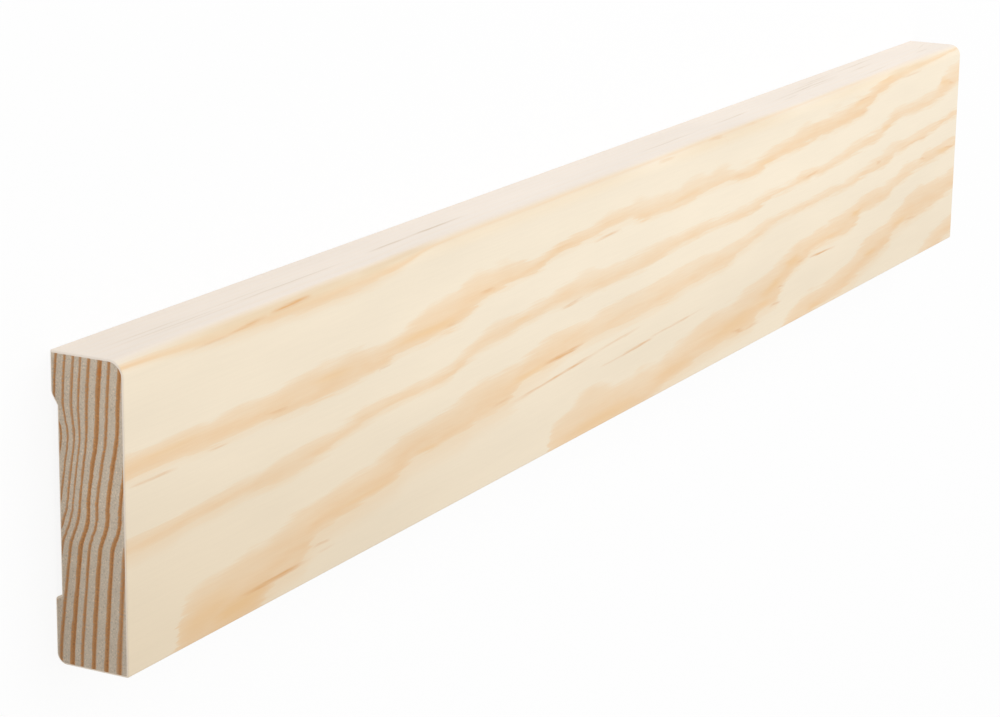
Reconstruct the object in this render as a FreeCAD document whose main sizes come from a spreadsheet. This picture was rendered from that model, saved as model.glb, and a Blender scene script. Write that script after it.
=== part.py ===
import FreeCAD, Part
import os
import Sketcher

# One length of planed pine skirting board, lying on its back with the moulded face up.
# X runs along the length. +Y points to the rounded top edge and -Y to the edge that stands on the floor.
# Z rises from the two back lands, which touch the wall, to the face. All sizes are millimetres.

NODE = "skirting_board"
CLOSE = 1e-4

# Driving sizes: alias, value and what it measures.
SIZES = [
    ("BoardLength", 410.0, "overall length, butt end to butt end"),
    ("BoardWidth", 56.0, "height of the skirting when it is fixed, floor edge to top edge"),
    ("BoardThickness", 15.0, "back lands to moulded face"),
    ("ReliefDepth", 1.25, "depth of the shallow hollow planed into the back"),
    ("LipWidth", 7.5, "upper back land, from the top edge to its shoulder"),
    ("LipSlope", 2.0, "width of the sloping side between the upper land and the hollow"),
    ("FootWidth", 12.0, "lower back land, from the floor edge to its shoulder"),
    ("FootSlope", 0.7, "width of the steep side between the lower land and the hollow"),
    ("TopRound", 3.0, "radius of the long front arris at the top edge"),
    ("HeelRound", 2.0, "radius of the long back arris at the floor edge"),
    ("LipRound", 2.0, "radius of the shoulder of the upper land"),
    ("FootRound", 0.5, "radius of the shoulder of the lower land"),
    ("ToeEase", 0.5, "radius of the long front arris at the floor edge"),
    ("EndEase", 0.35, "width of the small sanded bevel round both butt ends"),
]


def make_sheet(doc):
    sheet = doc.addObject("Spreadsheet::Sheet", "Sizes")
    for row, (alias, value, note) in enumerate(SIZES, start=1):
        sheet.set(f"A{row}", alias)
        sheet.set(f"B{row}", str(value))
        sheet.set(f"C{row}", note)
        sheet.setAlias(f"B{row}", alias)
    return sheet


def section_sketch(body, name):
    # An empty sketch in the plane of the near butt end. Its x is the part's Y, and its y the part's Z.
    plane = next(item for item in body.Origin.OriginFeatures if item.Role == "YZ_Plane")
    sketch = body.newObject("Sketcher::SketchObject", name)
    sketch.AttachmentSupport = [(plane, "")]
    sketch.MapMode = "FlatFace"
    sketch.setExpression("AttachmentOffset.Base.z", "-Sizes.BoardLength / 2")
    return sketch


def closed_outline(sketch, corners):
    # Joins the corners with lines, in order, and returns the lines' numbers.
    lines = []
    for start, end in zip(corners, corners[1:] + corners[:1]):
        lines.append(sketch.addGeometry(Part.LineSegment(start, end), False))
    for line, following in zip(lines, lines[1:] + lines[:1]):
        sketch.addConstraint(Sketcher.Constraint("Coincident", line, 2, following, 1))
    return lines


def bind(sketch, constraint, name, expression):
    # Adds a constraint that has a value, names it and ties it to the sheet.
    sketch.addConstraint(constraint)
    sketch.renameConstraint(sketch.ConstraintCount - 1, name)
    sketch.setExpression("Constraints." + name, expression)


def make_blank(body, sheet):
    # The planed blank: a rectangle of width by thickness, centred across the face.
    half = sheet.BoardWidth / 2
    thick = sheet.BoardThickness
    sketch = section_sketch(body, "BlankSection")
    back, top, face, floor = closed_outline(sketch, [
        FreeCAD.Vector(-half, 0, 0),
        FreeCAD.Vector(half, 0, 0),
        FreeCAD.Vector(half, thick, 0),
        FreeCAD.Vector(-half, thick, 0),
    ])
    sketch.addConstraint(Sketcher.Constraint("Horizontal", face))
    sketch.addConstraint(Sketcher.Constraint("Vertical", top))
    sketch.addConstraint(Sketcher.Constraint("Vertical", floor))
    sketch.addConstraint(Sketcher.Constraint("Symmetric", back, 1, back, 2, -1, 1))
    width = Sketcher.Constraint("DistanceX", back, 1, back, 2, sheet.BoardWidth)
    thickness = Sketcher.Constraint("DistanceY", top, 1, top, 2, thick)
    bind(sketch, width, "width", "Sizes.BoardWidth")
    bind(sketch, thickness, "thickness", "Sizes.BoardThickness")
    blank = body.newObject("PartDesign::Pad", "Blank")
    blank.Profile = sketch
    blank.setExpression("Length", "Sizes.BoardLength")
    return blank


def make_relief(body, sheet):
    # The hollow in the back, between a long sloping side near the top and a short steep one near the floor.
    half = sheet.BoardWidth / 2
    depth = sheet.ReliefDepth
    lip = half - sheet.LipWidth
    foot = sheet.FootWidth - half
    sketch = section_sketch(body, "ReliefSection")
    mouth, lip_side, bed, foot_side = closed_outline(sketch, [
        FreeCAD.Vector(foot, 0, 0),
        FreeCAD.Vector(lip, 0, 0),
        FreeCAD.Vector(lip - sheet.LipSlope, depth, 0),
        FreeCAD.Vector(foot + sheet.FootSlope, depth, 0),
    ])
    sketch.addConstraint(Sketcher.Constraint("PointOnObject", mouth, 1, -1))
    sketch.addConstraint(Sketcher.Constraint("PointOnObject", mouth, 2, -1))
    sketch.addConstraint(Sketcher.Constraint("Horizontal", bed))
    lip_shoulder = Sketcher.Constraint("DistanceX", -1, 1, mouth, 2, lip)
    foot_shoulder = Sketcher.Constraint("DistanceX", mouth, 1, -1, 1, -foot)
    lip_slope = Sketcher.Constraint("DistanceX", lip_side, 2, lip_side, 1, sheet.LipSlope)
    foot_slope = Sketcher.Constraint("DistanceX", foot_side, 2, foot_side, 1, sheet.FootSlope)
    bed_depth = Sketcher.Constraint("DistanceY", lip_side, 1, lip_side, 2, depth)
    bind(sketch, lip_shoulder, "lip_shoulder", "Sizes.BoardWidth / 2 - Sizes.LipWidth")
    bind(sketch, foot_shoulder, "foot_shoulder", "Sizes.BoardWidth / 2 - Sizes.FootWidth")
    bind(sketch, lip_slope, "lip_slope", "Sizes.LipSlope")
    bind(sketch, foot_slope, "foot_slope", "Sizes.FootSlope")
    bind(sketch, bed_depth, "bed_depth", "Sizes.ReliefDepth")
    relief = body.newObject("PartDesign::Pocket", "BackRelief")
    relief.Profile = sketch
    relief.Type = "Length"
    relief.Reversed = True
    relief.setExpression("Length", "Sizes.BoardLength")
    return relief


def long_edge(feature, place):
    # The name of the edge that runs the whole length at the place (y, z) of the section.
    y, z = place
    for number, edge in enumerate(feature.Shape.Edges, start=1):
        first = edge.Vertexes[0].Point
        last = edge.Vertexes[-1].Point
        runs_along = abs(first.x - last.x) > CLOSE
        if runs_along and abs(first.y - y) < CLOSE and abs(first.z - z) < CLOSE:
            return f"Edge{number}"
    raise RuntimeError(f"no long edge at {place}")


def end_edges(feature, half_length):
    # The names of the edges that bound the two butt ends.
    names = []
    for number, edge in enumerate(feature.Shape.Edges, start=1):
        middle = edge.CenterOfMass
        if abs(abs(middle.x) - half_length) < CLOSE:
            names.append(f"Edge{number}")
    return names


def round_arris(doc, body, name, base, place, alias):
    # Rounds one long arris with a radius from the sheet.
    fillet = body.newObject("PartDesign::Fillet", name)
    fillet.Base = (base, [long_edge(base, place)])
    fillet.setExpression("Radius", "Sizes." + alias)
    doc.recompute()
    return fillet


def ease_ends(doc, body, base, half_length):
    # Takes the sharp edge off both sawn butt ends, all round the section.
    bevel = body.newObject("PartDesign::Chamfer", "EndArrises")
    bevel.Base = (base, end_edges(base, half_length))
    bevel.setExpression("Size", "Sizes.EndEase")
    doc.recompute()
    return bevel


def make_board(doc, sheet):
    body = doc.addObject("PartDesign::Body", "SkirtingBoard")
    body.Label = NODE
    half = sheet.BoardWidth / 2
    thick = sheet.BoardThickness
    blank = make_blank(body, sheet)
    doc.recompute()
    blank_volume = blank.Shape.Volume
    relief = make_relief(body, sheet)
    doc.recompute()
    if relief.Shape.Volume >= blank_volume - CLOSE:
        raise RuntimeError("the relief cut nothing from the back")
    rounds = [
        ("TopArris", (half, thick), "TopRound"),
        ("HeelArris", (-half, 0.0), "HeelRound"),
        ("LipShoulder", (half - sheet.LipWidth, 0.0), "LipRound"),
        ("FootShoulder", (sheet.FootWidth - half, 0.0), "FootRound"),
        ("ToeArris", (-half, thick), "ToeEase"),
    ]
    feature = relief
    for name, place, alias in rounds:
        feature = round_arris(doc, body, name, feature, place, alias)
    body.Tip = ease_ends(doc, body, feature, sheet.BoardLength / 2)
    body.Placement = FreeCAD.Placement(FreeCAD.Vector(0, 0, 0), FreeCAD.Rotation())
    doc.recompute()
    return body


def check(doc, body):
    for item in doc.Objects:
        if "Invalid" in item.State or "Error" in item.State:
            raise RuntimeError(f"{item.Name} failed: {item.State}")
    if body.Shape.isNull() or not body.Shape.isValid() or len(body.Shape.Solids) != 1:
        raise RuntimeError("the board isn't one valid solid")


def main():
    doc = FreeCAD.newDocument("SkirtingBoard")
    sheet = make_sheet(doc)
    doc.recompute()
    body = make_board(doc, sheet)
    check(doc, body)
    os.makedirs("parts", exist_ok=True)
    body.Shape.exportStep(f"parts/{NODE}.step")
    box = body.Shape.BoundBox
    print(f"{NODE}: {box.XLength:.2f} x {box.YLength:.2f} x {box.ZLength:.2f} mm, "
          f"{body.Shape.Volume:.0f} mm3, {len(body.Shape.Faces)} faces")


main()
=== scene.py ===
import math
import bmesh
import bpy
from mathutils import Matrix, Vector


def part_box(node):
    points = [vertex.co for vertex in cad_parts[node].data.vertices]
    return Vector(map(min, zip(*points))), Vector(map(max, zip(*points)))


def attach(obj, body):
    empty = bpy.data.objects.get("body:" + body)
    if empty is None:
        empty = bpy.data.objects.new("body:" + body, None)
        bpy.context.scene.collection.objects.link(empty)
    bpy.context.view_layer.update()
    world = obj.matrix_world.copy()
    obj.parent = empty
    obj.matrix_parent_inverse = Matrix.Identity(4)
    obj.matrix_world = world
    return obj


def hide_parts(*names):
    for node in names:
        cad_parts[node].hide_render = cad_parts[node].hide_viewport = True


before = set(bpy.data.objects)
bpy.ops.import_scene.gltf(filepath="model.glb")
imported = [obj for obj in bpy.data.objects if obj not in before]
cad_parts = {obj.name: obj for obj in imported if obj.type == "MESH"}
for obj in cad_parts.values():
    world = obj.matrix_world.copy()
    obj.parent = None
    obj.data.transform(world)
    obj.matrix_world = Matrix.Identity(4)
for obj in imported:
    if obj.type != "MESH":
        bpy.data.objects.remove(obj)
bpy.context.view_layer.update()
mm = 0.001
close = 0.01 * mm             # places nearer to each other than this are the same
white = (1, 1, 1, 1)


def addNode(tree, kind, links=None, points=None, handle="AUTO", **settings):
    node = tree.nodes.new("ShaderNode" + kind)
    for name, value in settings.items():
        setattr(node, name, value)
    if points:  # the line of a Float Curve
        line = node.mapping.curves[0]
        node.mapping.use_clip = False
        while len(line.points) < len(points):
            line.points.new(0.5, 0.5)
        for point, place in zip(line.points, points):
            point.location = place
            point.handle_type = handle
        node.mapping.update()
    for name, value in (links or {}).items():
        if isinstance(value, bpy.types.Node):
            value = value.outputs[0]
        if isinstance(value, bpy.types.NodeSocket):
            tree.links.new(value, node.inputs[name])
        else:
            node.inputs[name].default_value = value
    return node


def linear(hexColour):
    # an sRGB hex colour in linear values
    channels = [int(hexColour[i:i + 2], 16) / 255 for i in (1, 3, 5)]
    return tuple(c / 12.92 if c <= 0.04045 else ((c + 0.055) / 1.055) ** 2.4 for c in channels) + (1.0,)


def newMaterial(name):
    material = bpy.data.materials.new(name)
    material.use_nodes = True
    material.node_tree.nodes.clear()
    return material, material.node_tree


def addMesh(bm, name):
    mesh = bpy.data.meshes.new(name)
    bm.to_mesh(mesh)
    bm.free()
    thing = bpy.data.objects.new(name, mesh)
    bpy.context.collection.objects.link(thing)
    return thing


# The board lies on its two back lands: X along the length, +Y the rounded top edge, +Z the moulded face.
# Its sizes, and those of the other dictionaries, are in mm.
board = {
    "node": "skirting_board",
    "reliefDepth": 1.25,      # of the hollow in the back, between the lip above it and the foot below
    "lipWidth": 7.5,
    "lipSlope": 2.0,          # width of the sloping side below the lip
    "footWidth": 12.0,
    "footSlope": 0.7,         # width of the steep side above the foot
    "topRound": 3.0,
    "heelRound": 2.0,
    "lipRound": 2.0,
    "footRound": 0.5,
    "toeEase": 0.5,
    "endEase": 0.35,
    "endSegments": 3,
    "sharpAngle": 24,         # degrees, past which an edge is shaded sharp
}


def sectionEdge(bm, y, z):
    # the edge that runs the whole length at a place in the section
    for edge in bm.edges:
        first, last = (vert.co for vert in edge.verts)
        alongX = abs(first.x - last.x) > close
        if alongX and abs(first.y - y) < close and abs(first.z - z) < close:
            return edge
    raise ValueError(f"no long edge at {y}, {z}")


def makeBoard():
    low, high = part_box(board["node"])
    lip = high.y - board["lipWidth"] * mm
    foot = low.y + board["footWidth"] * mm
    bed = low.z + board["reliefDepth"] * mm
    corners = [
        (low.y, low.z), (foot, low.z),
        (foot + board["footSlope"] * mm, bed), (lip - board["lipSlope"] * mm, bed),
        (lip, low.z), (high.y, low.z), (high.y, high.z), (low.y, high.z),
    ]
    bm = bmesh.new()
    section = bm.faces.new([bm.verts.new((low.x, y, z)) for y, z in corners])
    grown = bmesh.ops.extrude_face_region(bm, geom=[section], use_keep_orig=True)
    farVerts = [item for item in grown["geom"] if isinstance(item, bmesh.types.BMVert)]
    bmesh.ops.translate(bm, verts=farVerts, vec=(high.x - low.x, 0, 0))
    bmesh.ops.recalc_face_normals(bm, faces=bm.faces)

    lipTurn = math.atan2(board["reliefDepth"], board["lipSlope"])
    footTurn = math.atan2(board["reliefDepth"], board["footSlope"])
    rounds = [  # place in the section, how far the round reaches from the arris, segments
        (high.y, high.z, board["topRound"], 12),
        (low.y, low.z, board["heelRound"], 10),
        (low.y, high.z, board["toeEase"], 6),
        (lip, low.z, board["lipRound"] * math.tan(lipTurn / 2), 5),
        (foot, low.z, board["footRound"] * math.tan(footTurn / 2), 4),
    ]
    for y, z, reach, segments in rounds:
        bmesh.ops.bevel(bm, geom=[sectionEdge(bm, y, z)], offset=reach * mm, offset_type="OFFSET",
                        affect="EDGES", segments=segments, profile=0.5, material=-1)
    endEdges = [edge for edge in bm.edges if abs(edge.verts[0].co.x - edge.verts[1].co.x) < close]
    bmesh.ops.bevel(bm, geom=endEdges, offset=board["endEase"] * mm, offset_type="OFFSET",
                    affect="EDGES", segments=board["endSegments"], profile=0.5, material=-1)
    piece = addMesh(bm, "planed_board")
    for polygon in piece.data.polygons:
        polygon.use_smooth = True
    piece.data.set_sharp_from_angle(angle=math.radians(board["sharpAngle"]))
    normals = piece.modifiers.new("flat faces stay flat", "WEIGHTED_NORMAL")
    normals.keep_sharp = True
    return piece


# Baltic pine, flat sawn. The dark latewood bands of the face, from the top edge down: "starts" is the
# soft upper edge of a band and "ends" its firmer lower edge, as (length, height) in mm from the near
# floor corner. A band that leaves the face goes on outside it.
bands = [
    {
        "starts": [
            (0, 61), (94, 60), (101, 68), (112, 78), (150, 84), (410, 92),
        ],
        "ends": [
            (0, 55.8), (10, 55.1), (20, 54), (35, 53.3), (50, 53), (60, 52.4), (75, 52.6), (85, 53.5),
            (92, 54.5), (96, 56), (101, 61), (112, 70), (150, 74), (410, 82),
        ],
    },
    {
        "starts": [
            (0, 41), (6, 40.3), (15, 40.8), (25, 40), (40, 39.8), (50, 40.8), (70, 41.5), (80, 40.7),
            (87, 40.2), (95, 41.5), (105, 43.8), (116, 45.2), (126, 46.4), (134, 46.2), (142, 45.5),
            (150, 45.3), (160, 46.6), (180, 47), (190, 48.3), (200, 47.8), (215, 47.5), (230, 48),
            (240, 48), (250, 46.9), (256, 46.5), (265, 47.2), (280, 48.8), (290, 49.8), (305, 50.8),
            (330, 51.8), (340, 54.2), (350, 56.5), (360, 58.5), (380, 61), (410, 64),
        ],
        "ends": [
            (0, 35.5), (10, 35.6), (25, 34.8), (40, 35), (55, 34.4), (75, 34.9), (85, 35.5), (95, 36.8),
            (108, 37), (116, 37.8), (126, 40.2), (135, 41.2), (150, 42), (160, 43.5), (180, 44.2),
            (190, 44.8), (197, 44), (215, 43), (230, 43.5), (245, 44), (255, 43.3), (262, 42.8), (270, 44),
            (280, 44.8), (290, 45), (300, 45.6), (320, 46), (328, 46.4), (335, 47.2), (340, 48.8),
            (346, 50.7), (353, 51.8), (360, 53), (370, 54.2), (380, 55.2), (390, 56.3), (410, 58),
        ],
    },
    {
        "starts": [
            (0, 27), (10, 26.5), (25, 26), (40, 25.8), (50, 27), (60, 27), (75, 28.3), (85, 29.3),
            (105, 29.2), (115, 30.5), (125, 33), (140, 34.3), (155, 34.8), (165, 36.3), (180, 35.7),
            (190, 35.2), (200, 35.5), (210, 36.3), (230, 36.3), (260, 36), (270, 36.8), (290, 37),
            (300, 38.8), (310, 38.2), (320, 38.8), (330, 40.3), (345, 41.3), (355, 43.5), (365, 44.8),
            (380, 44.9), (390, 45.9), (395, 48.5), (400, 49.8), (410, 51.5),
        ],
        "ends": [
            (0, 22.5), (10, 22.3), (20, 22.8), (40, 22.8), (50, 22.3), (60, 23.2), (70, 25), (80, 26.2),
            (90, 27), (105, 26.8), (115, 28.2), (125, 29.8), (140, 31), (165, 32), (190, 31.8), (210, 32.5),
            (230, 33.8), (240, 34), (260, 33.6), (270, 34.8), (280, 35.7), (300, 36), (315, 36.5),
            (330, 37.5), (345, 38.5), (355, 40.3), (365, 42), (380, 42), (390, 42.3), (395, 42.8),
            (401, 43.8), (410, 45.4),
        ],
    },
    {
        "starts": [
            (0, -3.8), (12, -3), (14, -1), (15.2, 2.5), (16.5, 6.2), (18.5, 7.8), (21, 8.4), (26, 8.9),
            (35, 11), (45, 12.3), (55, 14), (75, 16), (85, 17), (90, 18.4), (95, 19.8), (105, 20),
            (120, 22.3), (140, 23.5), (150, 25), (160, 25.8), (180, 26.3), (205, 27.1), (220, 28),
            (250, 28.5), (263, 29), (272, 30.2), (300, 30.8), (320, 31), (330, 31.8), (340, 33), (350, 34),
            (360, 35.5), (380, 36), (395, 36.7), (410, 37.3),
        ],
        "ends": [
            (0, -18), (6, -14), (14, -8), (30, -5), (37, -2.5), (40, -1), (44, 2), (48, 3.6), (54, 4),
            (58, 6), (61, 8.3), (70, 9.5), (80, 10.3), (90, 11.3), (95, 13.3), (100, 14), (115, 14),
            (122, 15), (136, 15.4), (140, 17), (145, 19), (160, 19.8), (170, 21), (205, 21.5), (220, 22),
            (230, 23), (244, 23.2), (255, 25), (270, 27), (290, 28.8), (330, 29.1), (338, 30.3),
            (350, 30.3), (360, 32.5), (380, 33.3), (400, 35.4), (410, 36),
        ],
    },
    {
        "starts": [
            (0, -28), (140, -12), (154, -6), (156, 0), (158, 3.5), (161, 5.2), (165, 6.5), (170, 8),
            (176, 9.2), (181, 9), (186, 8), (190, 7.2), (205, 6.8), (215, 8), (225, 9), (235, 11.5),
            (242, 12.4), (250, 12.2), (260, 13.5), (270, 15.3), (280, 17), (290, 19), (296, 20.4),
            (305, 20.5), (315, 22), (330, 22.8), (340, 25), (358, 25.6), (365, 27), (370, 28), (380, 28),
            (384, 29), (410, 29.4),
        ],
        "ends": [
            (0, -46), (140, -24), (154, -12), (165, -7), (185, -3.5), (200, -1.5), (206, -0.5), (212, 1),
            (220, 2), (235, 3.5), (250, 4.5), (260, 4.3), (267, 5.2), (270, 7), (280, 7.5), (283, 10),
            (288, 12.5), (300, 15.5), (310, 17), (325, 17), (335, 19), (338, 20.5), (350, 20.8),
            (357, 21.5), (360, 23), (370, 24), (380, 25.5), (400, 26.3), (410, 27),
        ],
    },
    {
        "starts": [
            (0, -52), (270, -10), (283, -3), (286, 0.5), (290, 2.8), (295, 4), (300, 5), (315, 5.8),
            (325, 7.5), (335, 9.8), (345, 12.8), (355, 14), (370, 17.3), (375, 19), (385, 20), (395, 19.8),
            (410, 21),
        ],
        "ends": [
            (0, -64), (260, -16), (278, -9), (290, -4), (296, -1.5), (304, 0.3), (320, 1), (330, 2),
            (340, 4.3), (350, 6), (356, 7.2), (360, 9), (363, 10.8), (370, 11.5), (385, 12), (395, 13),
            (410, 15),
        ],
    },
    {
        "starts": [
            (0, -76), (360, -10), (380, -2), (384, 0.6), (390, 2.5), (400, 5.4), (410, 7),
        ],
        "ends": [
            (0, -88), (365, -16), (378, -9), (390, -4), (398, -1), (403, 1), (410, 2.2),
        ],
    },
]

# All rings, the deepest first and the face's bands last: where a ring ends, counted in rings from the
# first band, the share of the ring that is latewood, and how strong its colour is.
ringEnds = [
    (-5.9, 0.3, 0.6), (-5.1, 0.3, 0.6), (-4.3, 0.3, 0.8), (-3.58, 0.34, 0.75), (-2.87, 0.42, 0.7),
    (-2.3, 0.44, 0.7), (-1.58, 0.42, 0.8), (-0.62, 0.44, 1), (0.07, 0.42, 0.8), (1, 0.4, 1), (2, 0.37, 1),
    (3, 0.42, 0.78), (4, 0.42, 1), (5, 0.43, 1), (6, 0.42, 1), (7, 0.42, 0.95), (8, 0.42, 0.95),
]

# Marks in the wood, each from its near end to its far end as (length, height) in mm, with half its width
# and its strength. They lie in the moulded face, or in the top edge, where the height is the height
# above the wall.
faceMarks = {
    "Resin": [  # resin ducts, reddish brown
        ((0.5, 33.9), (16, 33.5), 0.5, 0.45), ((20, 53.5), (34, 53.4), 0.45, 0.35),
        ((24, 34.2), (32, 34), 0.4, 0.3), ((30, 53.6), (46, 54.3), 0.5, 0.5),
        ((35, 4.1), (58, 4.5), 0.65, 0.8), ((44, 36), (52, 35.8), 0.45, 0.4),
        ((46, 54.5), (61, 54.8), 0.65, 0.95), ((59, 6.6), (66, 6.3), 0.4, 0.5),
        ((60, 4.8), (68, 5), 0.4, 0.2), ((84, 35.4), (90, 35.4), 0.4, 0.4),
        ((110, 38.2), (117, 38.2), 0.6, 0.3), ((124, 42.1), (131, 42.2), 0.6, 0.45),
        ((130, 16.5), (140, 16.9), 0.5, 0.3), ((138, 15.4), (184, 17.7), 0.5, 0.7),
        ((152, 20.3), (172, 21), 0.75, 0.85), ((161, 31.1), (172, 31.7), 0.5, 0.5),
        ((176, 42.9), (190, 43.4), 0.5, 0.5), ((178, 17.6), (202, 18.7), 0.45, 0.4),
        ((181, 13.6), (194, 13.9), 0.4, 0.35), ((189, 13.7), (208, 14.6), 0.5, 0.9),
        ((204, 14.7), (237, 15.6), 0.45, 0.4), ((210, 55), (219, 54.8), 0.5, 0.4),
        ((239, 55.5), (248, 55.3), 0.5, 0.6), ((250, 44.7), (258, 44.3), 0.6, 0.2),
        ((252, 6.1), (262, 4.7), 0.5, 0.5), ((260, 55.8), (269, 55.6), 0.5, 0.6),
        ((262, 4.9), (271, 5), 0.45, 0.4), ((277, 7.6), (285, 7.3), 0.4, 0.4),
        ((281, 11.6), (288, 10.9), 0.4, 0.5), ((292, 15.3), (299, 15.5), 0.4, 0.4),
        ((294, 36.6), (307, 37.2), 0.5, 0.35), ((301, 15.2), (319, 14.7), 0.45, 0.9),
        ((331, 51.1), (341, 51.4), 0.4, 0.4), ((332, 47.7), (341, 47.8), 0.4, 0.3),
        ((346, 32.3), (351, 32), 0.7, 0.4), ((362, 53.1), (379, 52.9), 0.5, 0.35),
        ((364, 33.3), (389, 33.9), 0.4, 0.4), ((372, 12.4), (380, 12), 0.4, 0.4),
        ((380, 27.9), (385, 27.4), 0.5, 0.4), ((400, 27.9), (409, 27.3), 0.5, 0.6),
        ((400, 46.7), (405, 46), 0.4, 0.4),
    ],
    "Amber": [  # soft spots of resin inside the bands
        ((1, 37.5), (26, 37.9), 0.9, 0.5), ((13, 3), (36, 6), 4.5, 0.7), ((22, 2), (46, 3.4), 3.2, 1),
        ((58, 38.3), (76, 38), 1.3, 0.6), ((66, 11.4), (94, 11.8), 0.9, 0.5),
        ((86, 39), (118, 38.8), 1.4, 0.8), ((97, 14.8), (110, 14.5), 0.9, 0.7),
        ((137, 19.6), (157, 20.5), 1.1, 0.8), ((138, 32.5), (147, 33), 0.8, 0.5),
        ((152, 44.2), (166, 45.1), 0.9, 0.2), ((157, 1.4), (206, 2), 2.2, 0.8),
        ((210, 4), (234, 5), 1.8, 0.4), ((214, 44.4), (234, 45), 1, 0.5), ((238, 6.4), (270, 9), 2.8, 0.7),
        ((263, 45.5), (278, 45), 1.2, 0.7), ((267, 9), (278, 9), 1.2, 0.8), ((271, 11), (286, 14), 2, 0.9),
        ((285, 16), (297, 16.6), 1.9, 0.9), ((301, 1.3), (312, 1.6), 1.2, 0.8),
        ((306, 18.2), (325, 18), 0.8, 0.5), ((324, 50.2), (341, 50.9), 1.1, 0.6),
        ((329, 21.3), (338, 21), 1.1, 1), ((340, 8.2), (350, 8), 1.3, 1),
        ((345, 54.4), (359, 54.4), 1.3, 0.9), ((349, 41), (357, 41.4), 1, 0.6),
        ((361, 12), (374, 13.4), 1.2, 0.7), ((389, 48.4), (403, 46.6), 1.6, 1),
        ((394, 27.7), (405, 27.3), 0.9, 0.8),
    ],
    "Pale": [  # stretches where a band is paler
        ((160, 22.3), (400, 36), 5, 0.32), ((165, 45.5), (290, 46.5), 5, 0.28),
        ((338, 22.5), (395, 28), 4, 0.28),
    ],
}
edgeMarks = {
    "Grey": [  # bruised fibres
        ((4, 6.7), (34, 6.6), 0.35, 0.3), ((6, 8.1), (44, 8), 0.35, 0.35),
        ((10, 9.1), (52, 8.9), 0.35, 0.2), ((30, 6.7), (62, 6.5), 0.35, 0.25),
        ((40, 8.2), (84, 8), 0.45, 0.5), ((90, 7.6), (112, 7.4), 0.55, 0.6),
        ((106, 7.3), (132, 7.1), 0.65, 0.75), ((212, 7.9), (246, 7.7), 0.5, 0.4),
        ((254, 7.3), (278, 7.2), 0.45, 0.5), ((292, 6.6), (342, 5.2), 0.5, 0.5),
        ((296, 8.4), (308, 7.9), 0.45, 0.3), ((306, 4.6), (340, 4), 0.4, 0.4),
        ((314, 7.2), (340, 6), 0.4, 0.35), ((320, 3.3), (341, 2.9), 0.4, 0.35),
        ((344, 3.1), (374, 2.5), 0.45, 0.5), ((344, 6.1), (368, 5.4), 0.45, 0.35),
        ((344, 11.2), (366, 10.3), 0.5, 0.25), ((388, 9.3), (399, 9), 0.4, 0.35),
        ((395, 7.2), (409, 5), 0.4, 0.25),
    ],
    "Arris": [  # latewood that comes out along the rounded arris, in a darker tan that is partly painted shade against the highlight on the round
        ((2, 14.3), (100, 14), 1.6, 0.8), ((60, 14.7), (118, 13), 1.4, 0.8),
        ((85, 13.8), (215, 13.8), 2.6, 0.4), ((205, 13.9), (300, 13.9), 2.6, 0.5),
        ((290, 13.9), (409, 13.9), 2.4, 0.35), ((344, 14.3), (394, 14.2), 1.3, 0.7),
    ],
}
endSpot = {"middle": (0, 53.5, 10.2), "halves": (4, 1.4, 0.7)}  # resin in the near end, beside a ring
marking = {
    "gap": 3,                 # marks this far apart, mm, share their curves
    "fadeShare": 0.35,        # share of a mark's length in which it fades in or out
    "longestFade": 30,
    "fray": 0.3,              # share of the bands' fray that the marks have
}

wood = {
    "length": 410,
    "width": 56,
    "face": 15,               # height of the moulded face above the wall
    "bandShare": 0.36,        # latewood's share of a ring, where rings are counted down the face
    "spacingAbove": 16,       # mm up the face for each ring above the first band
    "spacingBelow": 20,       # mm down the face for each ring below the last band
    "ringStep": 2.5,          # depth from one ring to the next, mm
    "footRingStep": 2.7,      # the same near the floor edge
    "wander": 0.4,            # how far the bands stray from the drawn edges, mm
    "frayNear": 1.8,          # how far fibres fray a band's edge at the near end, mm
    "frayFar": 3.4,           # the same at the far end
    "frayFine": 1.2,          # how far the finest fibres fray it
    "frayAlong": 7.0,         # how far the frayed tips reach along the board
}

# what a place in the board, or a noise there, turns into
woodRanges = {
    "footRings": {  # by height, from the foot's ring step to the other
        "From Min": 4.0, "From Max": 24.0,
        "To Min": -1 / wood["footRingStep"], "To Max": -1 / wood["ringStep"],
    },
    "bulge": {"From Min": 7.0, "From Max": 13.0, "To Max": -0.9},  # by depth, in rings
    "sway": {"From Max": 40.0, "To Min": 1.0, "To Max": 0.0},  # by length
    "share": {"From Min": 0.25, "From Max": 0.75, "To Min": 0.87, "To Max": 1.13},  # of latewood
    "tail": {"From Max": 0.11, "To Min": 0.5, "To Max": 0.0},  # of a band, by share of the next ring
    "inFace": {"From Min": 0.3, "From Max": 2.0, "To Min": 1.0, "To Max": 0.0},  # by depth
    "inEdge": {"From Min": 55.0, "From Max": 55.9},  # by height
    "inArris": {"From Min": 52.5, "From Max": 54.2},
    "broken": {"From Min": 0.35, "From Max": 0.6, "To Min": 0.4, "To Max": 1.0},  # by the fibre noise
    "cornerShadeAlong": {"From Max": 150.0, "To Min": 0.5, "To Max": 0.0},  # by length, then by height
    "cornerShadeHigh": {"From Min": 20.0, "From Max": 56.0, "To Min": 1.0, "To Max": 0.4},
    "cornerShadeLow": {"From Min": 5.0, "From Max": 38.0, "To Min": 0.45, "To Max": 0.0},
}

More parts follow.
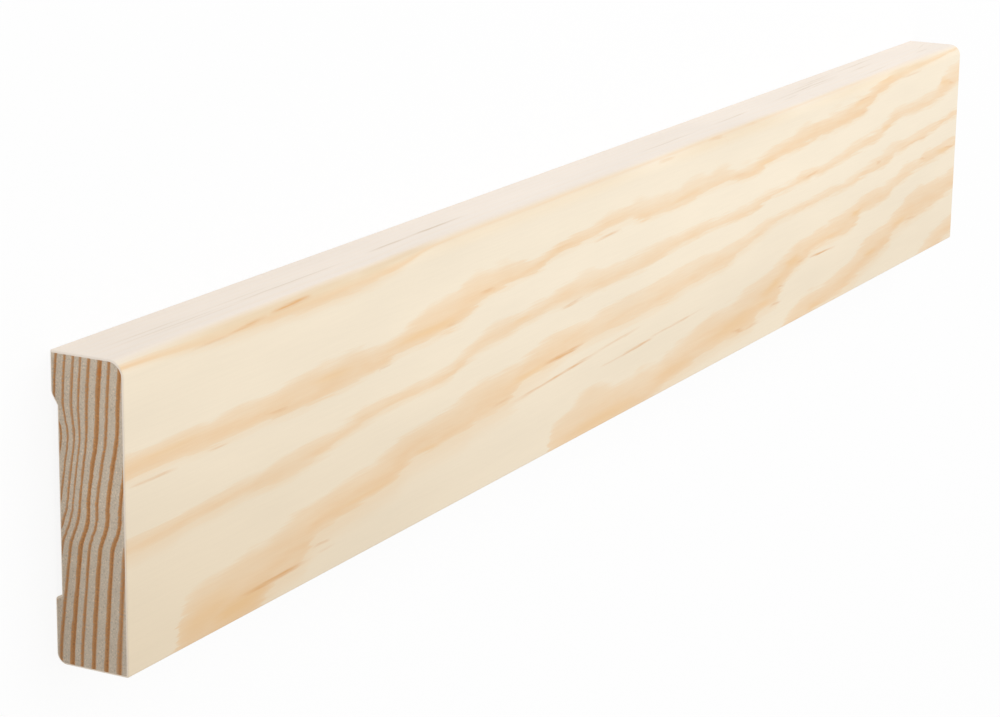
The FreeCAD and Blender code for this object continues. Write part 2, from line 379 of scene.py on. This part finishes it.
# how far the rings deep in the board bulge, and those near the end sway, by share of the board's width;
# then the strength of a band's latewood, and of its dark core, from its start (0) to its end (1)
woodCurves = {
    "bulge": [
        (0, 0), (0.3, 0.1), (0.45, 0.25), (0.55, 0.7), (0.64, 0.8), (0.71, 0.85), (0.79, 0.35),
        (0.88, 0), (1, 0),
    ],
    "sway": [
        (0, 0), (0.37, 0), (0.43, -0.1), (0.48, -0.25), (0.54, -0.1), (0.64, -0.03), (0.75, -0.1),
        (0.86, 0), (1, 0.08),
    ],
    "late": [(0, 0), (0.1, 0.42), (0.22, 0.76), (0.4, 0.92), (0.8, 1), (0.93, 0.88), (1, 0.5)],
    "core": [(0, 0), (0.3, 0.1), (0.55, 0.6), (0.75, 1), (0.9, 0.6), (1, 0.1)],
}

# size of each grain in mm along X, Y and Z
grains = {
    "wander": {"size": (24, 6, 6), "detail": 2, "seed": 3.1},
    "fray": {"size": (10, 0.8, 0.8), "detail": 3, "seed": 11.0},
    "spread": {"size": (14, 4, 4), "detail": 1, "seed": 27.0},
    "cloud": {"size": (60, 14, 14), "detail": 2, "seed": 41.0},
    "fibre": {"size": (12, 0.35, 0.35), "detail": 3, "seed": 53.0},
    "speck": {"size": (0.5, 0.36, 0.3), "detail": 2, "seed": 67.0},
    "blot": {"size": (14, 2.2, 1.4), "detail": 2, "seed": 71.0},
}
seedSteps = (1, 0.7, 1.3)     # a seed moves its grain by this much along X, Y and Z
grainRoughness = 0.55
grainMiddle = 0.5             # a grain's mean value


def drawMarks(tree, x, across, marks, keep, broken=None):
    # marks that are apart along the board share three curves: where they are, how wide and how strong
    tracks = []
    for mark in sorted(marks):
        free = [track for track in tracks if track[-1][1][0] + marking["gap"] < mark[0][0]]
        if free:
            free[0].append(mark)
        else:
            tracks.append([mark])
    total = None
    for track in tracks:
        middle, width, strength = [], [], []
        for (nearX, nearY), (farX, farY), half, strong in track:
            fade = min((farX - nearX) * marking["fadeShare"], marking["longestFade"])
            middle += [(nearX, nearY), (farX, farY)]
            width += [(nearX, half), (farX, half)]
            strength += [(nearX, 0), (nearX + fade, strong), (farX - fade, strong), (farX, 0)]
        curves = []
        for points in (middle, width, strength):
            points = [(0, points[0][1])] + points + [(wood["length"], points[-1][1])]
            curves.append(addNode(tree, "FloatCurve", {"Value": x}, handle="VECTOR", points=[
                (a / wood["length"], b) for a, b in points]))
        off = addNode(tree, "Math", {0: across, 1: curves[0]}, operation="SUBTRACT")
        off = addNode(tree, "Math", {0: off}, operation="ABSOLUTE")
        mark = addNode(tree, "MapRange", {
            "Value": off, "From Max": curves[1], "To Min": curves[2], "To Max": 0.0},
            interpolation_type="SMOOTHSTEP")
        total = addNode(tree, "Math", {0: total, 1: mark}, operation="MAXIMUM") if total else mark
    total = addNode(tree, "Math", {0: total, 1: keep}, operation="MULTIPLY")
    return addNode(tree, "Math", {0: total, 1: broken}, operation="MULTIPLY") if broken else total


def makeRings():
    # the growth rings run through the whole board, so the face, the edges and the sawn ends agree
    tree = bpy.data.node_groups.new("pine growth rings", "ShaderNodeTree")
    inMetres = addNode(tree, "TexCoord").outputs["Object"]
    place = addNode(tree, "Mapping", {
        "Vector": inMetres, "Scale": [1 / mm] * 3, "Location": (wood["length"] / 2, wood["width"] / 2, 0)})
    x, y, z = addNode(tree, "SeparateXYZ", {0: place}).outputs
    noises = {}
    for name, grain in grains.items():
        at = addNode(tree, "Mapping", {
            "Vector": place, "Scale": [1 / size for size in grain["size"]],
            "Location": [grain["seed"] * step for step in seedSteps]})
        noises[name] = addNode(tree, "TexNoise", {
            "Vector": at, "Scale": 1.0, "Detail": grain["detail"], "Roughness": grainRoughness})

    # the drawn edges wander, and fibres fray them along the board and up it
    shift = addNode(tree, "SeparateColor", {0: noises["fray"].outputs["Color"]}).outputs[1]
    shift = addNode(tree, "Math", {0: shift, 1: grainMiddle}, operation="SUBTRACT")
    along = addNode(tree, "Math", {0: shift, 1: wood["frayAlong"], 2: x}, operation="MULTIPLY_ADD")
    along = addNode(tree, "Math", {0: along, 1: wood["length"]}, operation="DIVIDE")
    up = addNode(tree, "Math", {0: y, 1: wood["width"]}, operation="DIVIDE")
    depth = addNode(tree, "Math", {0: wood["face"], 1: z}, operation="SUBTRACT")
    wander = addNode(tree, "Math", {0: noises["wander"], 1: grainMiddle}, operation="SUBTRACT")
    fray = addNode(tree, "Math", {0: noises["fray"], 1: grainMiddle}, operation="SUBTRACT")
    frayed = addNode(tree, "MapRange", {
        "Value": along, "To Min": wood["frayNear"], "To Max": wood["frayFar"]})
    fray = addNode(tree, "Math", {0: fray, 1: frayed}, operation="MULTIPLY")
    stray = addNode(tree, "Math", {0: wander, 1: 2 * wood["wander"], 2: fray}, operation="MULTIPLY_ADD")
    fine = addNode(tree, "Math", {0: noises["fibre"], 1: grainMiddle}, operation="SUBTRACT")
    stray = addNode(tree, "Math", {0: fine, 1: wood["frayFine"], 2: stray}, operation="MULTIPLY_ADD")
    height = addNode(tree, "Math", {0: y, 1: stray}, operation="ADD")

    # rings are counted down the face: a band starts part of a ring before it ends
    borders = []
    for band in bands:
        for side in ("starts", "ends"):
            points = [(a / wood["length"], b) for a, b in band[side]]
            borders.append(addNode(tree, "FloatCurve", {"Value": along}, points=points))
    above = addNode(tree, "Math", {0: height, 1: borders[0]}, operation="SUBTRACT")
    above = addNode(tree, "Math", {0: above, 1: 0.0}, operation="MAXIMUM")
    ring = addNode(tree, "Math", {
        0: above, 1: -1 / wood["spacingAbove"], 2: 1 - wood["bandShare"]}, operation="MULTIPLY_ADD")
    steps = [wood["bandShare"], 1 - wood["bandShare"]] * len(bands)
    for upper, lower, step in zip(borders, borders[1:], steps):
        part = addNode(tree, "MapRange", {
            "Value": height, "From Min": upper, "From Max": lower, "To Max": step})
        ring = addNode(tree, "Math", {0: ring, 1: part}, operation="ADD")
    below = addNode(tree, "Math", {0: borders[-1], 1: height}, operation="SUBTRACT")
    below = addNode(tree, "Math", {0: below, 1: 0.0}, operation="MAXIMUM")
    ring = addNode(tree, "Math", {0: below, 1: 1 / wood["spacingBelow"], 2: ring}, operation="MULTIPLY_ADD")

    # and counted back into the board, where they bulge and sway a little
    perMm = addNode(tree, "MapRange", {"Value": y, **woodRanges["footRings"]})
    ring = addNode(tree, "Math", {0: depth, 1: perMm, 2: ring}, operation="MULTIPLY_ADD")
    deep = addNode(tree, "MapRange", {"Value": depth, **woodRanges["bulge"]})
    bulge = addNode(tree, "FloatCurve", {"Value": up}, points=woodCurves["bulge"])
    ring = addNode(tree, "Math", {0: deep, 1: bulge, 2: ring}, operation="MULTIPLY_ADD")
    sway = addNode(tree, "FloatCurve", {"Value": up}, points=woodCurves["sway"])
    nearEnd = addNode(tree, "MapRange", {
        "Value": x, **woodRanges["sway"]}, interpolation_type="SMOOTHSTEP")
    ring = addNode(tree, "Math", {0: sway, 1: nearEnd, 2: ring}, operation="MULTIPLY_ADD")

    # each ring has its own share of latewood and its own strength
    first, last = ringEnds[0][0], ringEnds[-1][0]
    count = len(ringEnds) - 1
    spread = addNode(tree, "MapRange", {"Value": ring, "From Min": first, "From Max": last})
    spread = addNode(tree, "FloatCurve", {"Value": spread}, handle="VECTOR", points=[
        ((end - first) / (last - first), i) for i, (end, share, strength) in enumerate(ringEnds)])
    number = addNode(tree, "Math", {0: spread}, operation="FLOOR")
    phase = addNode(tree, "Math", {0: spread}, operation="FRACT")
    step = addNode(tree, "Math", {0: number, 1: count}, operation="DIVIDE")
    share = addNode(tree, "FloatCurve", {"Value": step}, handle="VECTOR", points=[
        (i / count, share) for i, (end, share, strength) in enumerate(ringEnds[1:])])
    strong = addNode(tree, "FloatCurve", {"Value": step}, handle="VECTOR", points=[
        (i / count, strength) for i, (end, share, strength) in enumerate(ringEnds[1:])])
    vary = addNode(tree, "MapRange", {"Value": noises["spread"], **woodRanges["share"]})
    share = addNode(tree, "Math", {0: share, 1: vary}, operation="MULTIPLY")
    begin = addNode(tree, "Math", {0: 1.0, 1: share}, operation="SUBTRACT")
    inBand = addNode(tree, "MapRange", {"Value": phase, "From Min": begin, "From Max": 1.0})
    late = addNode(tree, "FloatCurve", {"Value": inBand}, points=woodCurves["late"])
    tail = addNode(tree, "MapRange", {
        "Value": phase, **woodRanges["tail"]}, interpolation_type="SMOOTHSTEP")
    late = addNode(tree, "Math", {0: late, 1: tail}, operation="MAXIMUM")
    late = addNode(tree, "Math", {0: late, 1: strong}, operation="MULTIPLY")
    core = addNode(tree, "FloatCurve", {"Value": inBand}, points=woodCurves["core"])
    core = addNode(tree, "Math", {0: core, 1: strong}, operation="MULTIPLY")

    # marks lie in the surface only and are frayed along the fibres
    inFace = addNode(tree, "MapRange", {"Value": depth, **woodRanges["inFace"]})
    inEdge = addNode(tree, "MapRange", {"Value": y, **woodRanges["inEdge"]})
    inArris = addNode(tree, "MapRange", {"Value": y, **woodRanges["inArris"]})
    lift = addNode(tree, "Math", {0: fray, 1: marking["fray"]}, operation="MULTIPLY")
    faceHeight = addNode(tree, "Math", {0: y, 1: lift}, operation="ADD")
    edgeHeight = addNode(tree, "Math", {0: z, 1: lift}, operation="ADD")
    broken = addNode(tree, "MapRange", {"Value": noises["fibre"], **woodRanges["broken"]})
    resin = drawMarks(tree, along, faceHeight, faceMarks["Resin"], inFace, broken)
    amber = drawMarks(tree, along, faceHeight, faceMarks["Amber"], inFace)
    grey = drawMarks(tree, along, edgeHeight, edgeMarks["Grey"], inEdge, broken)
    arris = drawMarks(tree, along, edgeHeight, edgeMarks["Arris"], inArris)
    spot = addNode(tree, "Mapping", {
        "Vector": place, "Location": endSpot["middle"], "Scale": endSpot["halves"]}, vector_type="TEXTURE")
    spot = addNode(tree, "VectorMath", {0: spot}, operation="LENGTH").outputs["Value"]
    spot = addNode(tree, "MapRange", {
        "Value": spot, "To Min": 1.0, "To Max": 0.0}, interpolation_type="SMOOTHSTEP")
    amber = addNode(tree, "Math", {0: amber, 1: spot}, operation="MAXIMUM")
    pale = drawMarks(tree, along, faceHeight, faceMarks["Pale"], inFace)
    full = addNode(tree, "Math", {0: 1.0, 1: pale}, operation="SUBTRACT")
    late = addNode(tree, "Math", {0: late, 1: full}, operation="MULTIPLY")
    core = addNode(tree, "Math", {0: core, 1: full}, operation="MULTIPLY")

    # warmer, darker wood towards the near floor corner: partly a warmer wood tone, partly painted shade of
    # the light falling off there
    cornerTintAndShade = addNode(tree, "MapRange", {"Value": x, **woodRanges["cornerShadeAlong"]})
    high = addNode(tree, "MapRange", {"Value": y, **woodRanges["cornerShadeHigh"]})
    low = addNode(tree, "MapRange", {"Value": y, **woodRanges["cornerShadeLow"]})
    cornerTintAndShade = addNode(tree, "Math", {0: cornerTintAndShade, 1: high, 2: low}, operation="MULTIPLY_ADD")

    shown = {
        "Late": late, "Core": core, "Resin": resin, "Amber": amber, "Grey": grey, "Arris": arris,
        "CornerTintAndShade": cornerTintAndShade, "Cloud": noises["cloud"], "Fibre": noises["fibre"], "Speck": noises["speck"],
        "Blot": noises["blot"],
    }
    for name in shown:
        tree.interface.new_socket(name, in_out="OUTPUT", socket_type="NodeSocketFloat")
    result = tree.nodes.new("NodeGroupOutput")
    for name, node in shown.items():
        tree.links.new(node.outputs[0], result.inputs[name])
    return tree


planedPine = {
    "early": "#f9ebd3",
    "edge": "#f6ebdf",        # painted sheen: the edges paler and cooler than the face, as a grazing reflection shows them
    "late": "#f6dab5",
    "core": "#f3cea0",        # the darkest part of a band
    "amber": "#f4ce9a",
    # partly latewood, partly painted shade that tones down the highlight on the rounded arris
    "arris": "#ebd2ad",
    "resin": "#e0a050",
    "grey": "#ccb493",
    "cornerTintAndShade": "#ede8e0",       # tints the wood towards the near floor corner: partly warmer wood, partly painted shade
    "roughness": 0.55,
    "lateShine": 0.08,        # how much less rough the latewood is
    "ior": 1.5,
    "bump": 0.2,
    "bumpHeight": 0.05,       # mm
    # by how flat a surface lies, edge (0) or face (1): how much of the bands shows, and its colour; on the
    # edges the paler, cooler colour is painted sheen, and the fainter bands are partly edge grain and
    # partly that painted sheen
    "show": [(0, 0.06), (0.3, 0.1), (0.5, 0.3), (0.75, 0.75), (0.92, 1), (1, 1)],
    "flat": {"From Min": 0.2, "From Max": 0.8},
    # by the grains: strength of the latewood, strength of its core, and the wood's brightness
    "mottle": {"From Min": 0.3, "From Max": 0.6, "To Min": 0.88, "To Max": 1.0},
    "patchy": {"From Min": 0.3, "From Max": 0.7, "To Min": 0.1, "To Max": 0.7},
    "drift": {"From Min": 0.3, "From Max": 0.7, "To Min": 0.975, "To Max": 1.025},
    "grain": {"From Min": 0.3, "From Max": 0.7, "To Min": 0.99, "To Max": 1.01},
}


def makePlanedPine(rings):
    # knife-planed softwood, unfinished: a dry satin face where the hard latewood shines a little more
    material, tree = newMaterial("planed pine")
    ring = addNode(tree, "Group", node_tree=rings).outputs
    normal = addNode(tree, "SeparateXYZ", {0: addNode(tree, "NewGeometry").outputs["Normal"]}).outputs["Z"]
    flat = addNode(tree, "Math", {0: normal}, operation="ABSOLUTE")
    show = addNode(tree, "FloatCurve", {"Value": flat}, points=planedPine["show"])
    mottle = addNode(tree, "MapRange", {"Value": ring["Blot"], **planedPine["mottle"]})
    late = addNode(tree, "Math", {0: ring["Late"], 1: mottle}, operation="MULTIPLY")
    late = addNode(tree, "Math", {0: late, 1: show}, operation="MULTIPLY")
    patchy = addNode(tree, "MapRange", {"Value": ring["Blot"], **planedPine["patchy"]})
    core = addNode(tree, "Math", {0: ring["Core"], 1: patchy}, operation="MULTIPLY")
    core = addNode(tree, "Math", {0: core, 1: show}, operation="MULTIPLY")
    amber = addNode(tree, "Math", {0: ring["Amber"], 1: ring["Late"]}, operation="MULTIPLY")

    # painted sheen: the edges take the paler, cooler edge colour
    face = addNode(tree, "MapRange", {"Value": flat, **planedPine["flat"]})
    colour = addNode(tree, "Mix", {
        0: face, 6: linear(planedPine["edge"]), 7: linear(planedPine["early"])},
        data_type="RGBA").outputs[2]
    layers = {
        "late": late, "core": core, "amber": amber, "arris": ring["Arris"], "resin": ring["Resin"],
        "grey": ring["Grey"]}
    for name, share in layers.items():
        colour = addNode(tree, "Mix", {
            0: share, 6: colour, 7: linear(planedPine[name])}, data_type="RGBA").outputs[2]
    # partly painted shade: this multiply tint darkens the wood towards the near floor corner
    colour = addNode(tree, "Mix", {
        0: ring["CornerTintAndShade"], 6: colour, 7: linear(planedPine["cornerTintAndShade"])},
        data_type="RGBA", blend_type="MULTIPLY").outputs[2]
    drift = addNode(tree, "MapRange", {"Value": ring["Cloud"], **planedPine["drift"]})
    grain = addNode(tree, "MapRange", {"Value": ring["Fibre"], **planedPine["grain"]})
    shade = addNode(tree, "Math", {0: drift, 1: grain}, operation="MULTIPLY")
    colour = addNode(tree, "VectorMath", {0: colour, "Scale": shade}, operation="SCALE").outputs[0]
    rough = addNode(tree, "MapRange", {
        "Value": late, "To Min": planedPine["roughness"],
        "To Max": planedPine["roughness"] - planedPine["lateShine"]})
    bump = addNode(tree, "Bump", {
        "Height": ring["Fibre"], "Strength": planedPine["bump"], "Distance": planedPine["bumpHeight"] * mm})
    shader = addNode(tree, "BsdfPrincipled", {
        "Base Color": colour, "Roughness": rough, "IOR": planedPine["ior"], "Normal": bump})
    addNode(tree, "OutputMaterial", {"Surface": shader})
    return material


sawnPine = {
    "early": "#ccbda9",
    "late": "#bd8956",
    "core": "#a26935",
    "resin": "#b8702f",
    "roughness": 0.8,
    "ior": 1.45,
    "bump": 0.5,
    "bumpHeight": 0.1,        # mm
    "squareTo": 0.99,         # a polygon that faces along the board at least this much is sawn
    "ragged": {"To Min": -0.6, "To Max": 0.6},  # specks that break up a band, and what is left of it
    "band": {"From Min": 0.1, "From Max": 0.85},
    # by the grains: strength of a band's core, and the wood's brightness
    "patchy": {"From Min": 0.3, "From Max": 0.7, "To Min": 0.3, "To Max": 1.0},
    "speck": [(0, 0.6), (0.3, 0.72), (0.42, 0.96), (0.5, 1), (0.6, 1.06), (0.7, 1.4), (1, 1.6)],
    "blot": {"From Min": 0.3, "From Max": 0.7, "To Min": 0.94, "To Max": 1.05},
    "paintedEndShade": {"From Min": 0.5, "From Max": 0.97, "To Min": 1.0, "To Max": 0.85},  # painted shade: the sawn end darker towards the bottom edge, where the corner mask is strong
}


def makeSawnPine(rings):
    # cross-cut softwood: the open fibre ends drink the light, so it is darker, dull and speckled
    material, tree = newMaterial("sawn pine end grain")
    ring = addNode(tree, "Group", node_tree=rings).outputs
    ragged = addNode(tree, "MapRange", {"Value": ring["Speck"], **sawnPine["ragged"]})
    ragged = addNode(tree, "Math", {0: ring["Late"], 1: ragged}, operation="ADD")
    late = addNode(tree, "MapRange", {"Value": ragged, **sawnPine["band"]})
    core = addNode(tree, "MapRange", {"Value": ring["Blot"], **sawnPine["patchy"]})
    core = addNode(tree, "Math", {0: ring["Core"], 1: core}, operation="MULTIPLY")
    colour = linear(sawnPine["early"])
    for name, share in {"late": late, "core": core, "resin": ring["Amber"]}.items():
        colour = addNode(tree, "Mix", {
            0: share, 6: colour, 7: linear(sawnPine[name])}, data_type="RGBA").outputs[2]
    speck = addNode(tree, "FloatCurve", {"Value": ring["Speck"]}, points=sawnPine["speck"])
    blot = addNode(tree, "MapRange", {"Value": ring["Blot"], **sawnPine["blot"]})
    shade = addNode(tree, "Math", {0: speck, 1: blot}, operation="MULTIPLY")
    # painted shade: darkens the sawn end towards the bottom edge
    paintedEndShade = addNode(tree, "MapRange", {"Value": ring["CornerTintAndShade"], **sawnPine["paintedEndShade"]})
    shade = addNode(tree, "Math", {0: shade, 1: paintedEndShade}, operation="MULTIPLY")
    colour = addNode(tree, "VectorMath", {0: colour, "Scale": shade}, operation="SCALE").outputs[0]
    bump = addNode(tree, "Bump", {
        "Height": ring["Speck"], "Strength": sawnPine["bump"], "Distance": sawnPine["bumpHeight"] * mm})
    shader = addNode(tree, "BsdfPrincipled", {
        "Base Color": colour, "Roughness": sawnPine["roughness"], "IOR": sawnPine["ior"], "Normal": bump})
    addNode(tree, "OutputMaterial", {"Surface": shader})
    return material


def seenRays(tree):
    # 1 for the rays that see a thing, straight or in a reflection, and 0 for those that it lights
    rays = addNode(tree, "LightPath").outputs
    seen = addNode(tree, "Math", {0: rays["Is Camera Ray"], 1: rays["Is Glossy Ray"]}, operation="ADD")
    return addNode(tree, "Math", {0: seen, 1: rays["Is Transmission Ray"]}, operation="ADD")


floor = {
    "reach": 4000,            # half its side
    "drop": 0.05,             # below the board
    "shadowShare": 0.11,      # how much of the board's shadow is seen
    "colour": "#fcfcfc",
}


def makeFloor():
    bm = bmesh.new()
    bmesh.ops.create_grid(bm, x_segments=1, y_segments=1, size=floor["reach"] * mm)
    bmesh.ops.translate(bm, verts=bm.verts, vec=(0, 0, -floor["drop"] * mm))
    ground = addMesh(bm, "studio_floor")
    # evenly lit paper: a white without texture that hides where floor and background meet
    material, tree = newMaterial("matt white paper sweep")
    paper = addNode(tree, "BsdfDiffuse", {"Color": linear(floor["colour"])})
    glow = addNode(tree, "Emission", {"Color": white, "Strength": 1.0})
    share = addNode(tree, "Math", {0: seenRays(tree), 1: 1 - floor["shadowShare"]}, operation="MULTIPLY")
    both = addNode(tree, "MixShader", {0: share, 1: paper, 2: glow})
    addNode(tree, "OutputMaterial", {"Surface": both})
    ground.data.materials.append(material)


light = {
    "room": 0.72,             # the room's own light; what is seen of it is plain white
    "keySpot": (180, 420, 720),
    "keyAim": (40, 0, 10),
    "keySize": 900,           # side of the softbox
    "keyPower": 2.8,          # watts
}


def pointAt(spot, aim):
    turn = (Vector(aim) - Vector(spot)).to_track_quat("-Z", "Y").to_matrix().to_4x4()
    return Matrix.Translation(Vector(spot) * mm) @ turn


def makeLight():
    world = bpy.data.worlds.new("soft white room")
    bpy.context.scene.world = world
    world.use_nodes = True
    tree = world.node_tree
    tree.nodes.clear()
    room = addNode(tree, "Background", {"Color": white, "Strength": light["room"]})
    plain = addNode(tree, "Background", {"Color": white, "Strength": 1.0})
    both = addNode(tree, "MixShader", {0: seenRays(tree), 1: room, 2: plain})
    addNode(tree, "OutputWorld", {"Surface": both})
    key = bpy.data.lights.new("softbox", "AREA")
    key.shape = "SQUARE"
    key.size = light["keySize"] * mm
    key.energy = light["keyPower"]
    lamp = bpy.data.objects.new("softbox", key)
    lamp.matrix_world = pointAt(light["keySpot"], light["keyAim"])
    bpy.context.collection.objects.link(lamp)


camera = {
    "spot": (-593.5, 154.9, 292.0),
    "aim": (-71.6, -1.6, 15.0),
    "upright": (0, 1, 0),     # the board's height points up in the picture
    "roll": 0.9,              # degrees
    "lens": 106.3,            # focal length
    "sensor": 36,             # its width
    "clipStart": 10,
}


def makeCamera():
    data = bpy.data.cameras.new("camera")
    data.lens = camera["lens"]
    data.sensor_width = camera["sensor"]
    data.clip_start = camera["clipStart"] * mm
    spot, aim = Vector(camera["spot"]), Vector(camera["aim"])
    back = (spot - aim).normalized()
    right = Vector(camera["upright"]).cross(back).normalized()
    up = back.cross(right)
    turn = Matrix((right, up, back)).transposed().to_4x4()
    roll = Matrix.Rotation(math.radians(camera["roll"]), 4, "Z")
    eye = bpy.data.objects.new("camera", data)
    eye.matrix_world = Matrix.Translation(spot * mm) @ turn @ roll
    bpy.context.collection.objects.link(eye)
    bpy.context.scene.camera = eye


print("board")
piece = makeBoard()
print("growth rings and finishes")
rings = makeRings()
piece.data.materials.append(makePlanedPine(rings))
piece.data.materials.append(makeSawnPine(rings))
for polygon in piece.data.polygons:
    if abs(polygon.normal.x) > sawnPine["squareTo"]:
        polygon.material_index = 1
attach(piece, "root")
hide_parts(board["node"])
print("floor, light and camera")
makeFloor()
makeLight()
makeCamera()
bpy.context.scene.view_settings.view_transform = "Standard"
